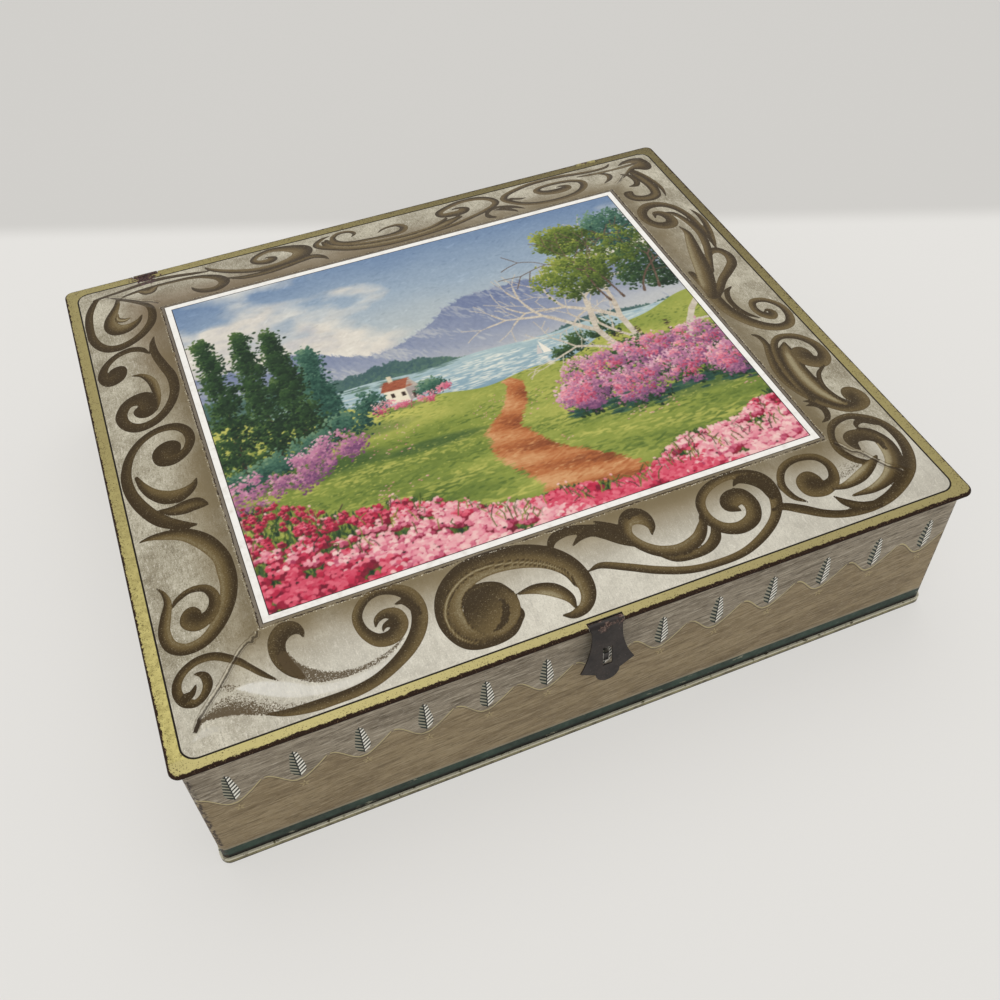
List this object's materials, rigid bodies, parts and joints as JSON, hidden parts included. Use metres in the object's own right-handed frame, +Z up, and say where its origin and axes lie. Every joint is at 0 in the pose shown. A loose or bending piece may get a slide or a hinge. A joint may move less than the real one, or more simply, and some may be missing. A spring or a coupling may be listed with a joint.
{
  "type": "biscuit tin",
  "caption": "Rectangular biscuit tin with a raised, printed lid curled over a wire, strap hinges behind and a flared hasp that drops over a staple in front.",
  "frame": {"origin": "on the floor, under the middle of the lid", "axes": "+X along the long front edge to the right, -Y towards the hasp side (the front), +Z up"},
  "size_m": [0.33, 0.2936, 0.084],
  "materials": {
    "printed_wall": "lithographed wood-grain print, satin lacquer, worn",
    "plain_tinplate": "plain tinplate, dull",
    "printed_lid": "lithographed silver and gold print, satin lacquer, worn edges",
    "rim_wire": "drawn steel wire, dull",
    "black_japan": "brown-black japanned steel, satin",
    "rivet_steel": "tinned steel, dull",
    "bright_tinplate": "bright tinplate"
  },
  "bodies": {
    "box": {"wall_front": "printed_wall", "wall_rear": "printed_wall", "bottom_panel": "plain_tinplate", "hinge_strap_left": "black_japan", "hinge_strap_right": "black_japan", "hinge_rivets": "rivet_steel", "hasp_staple": "bright_tinplate"},
    "lid": {"lid_panel": "printed_lid", "lid_rim_wire": "rim_wire"},
    "hasp": {"hasp_plate": "black_japan"}
  },
  "joints": [
    {"name": "lid_hinge", "type": "hinge", "parent": "box", "child": "lid", "pos_m": [0, 0.14375, 0.0753], "axis": [-1, 0, 0], "range_deg": [0, 180]},
    {"name": "hasp_hinge", "type": "hinge", "parent": "lid", "child": "hasp", "pos_m": [-0.0008, -0.14375, 0.0753], "axis": [-1, 0, 0], "range_deg": [-9, 165]}
  ]
}
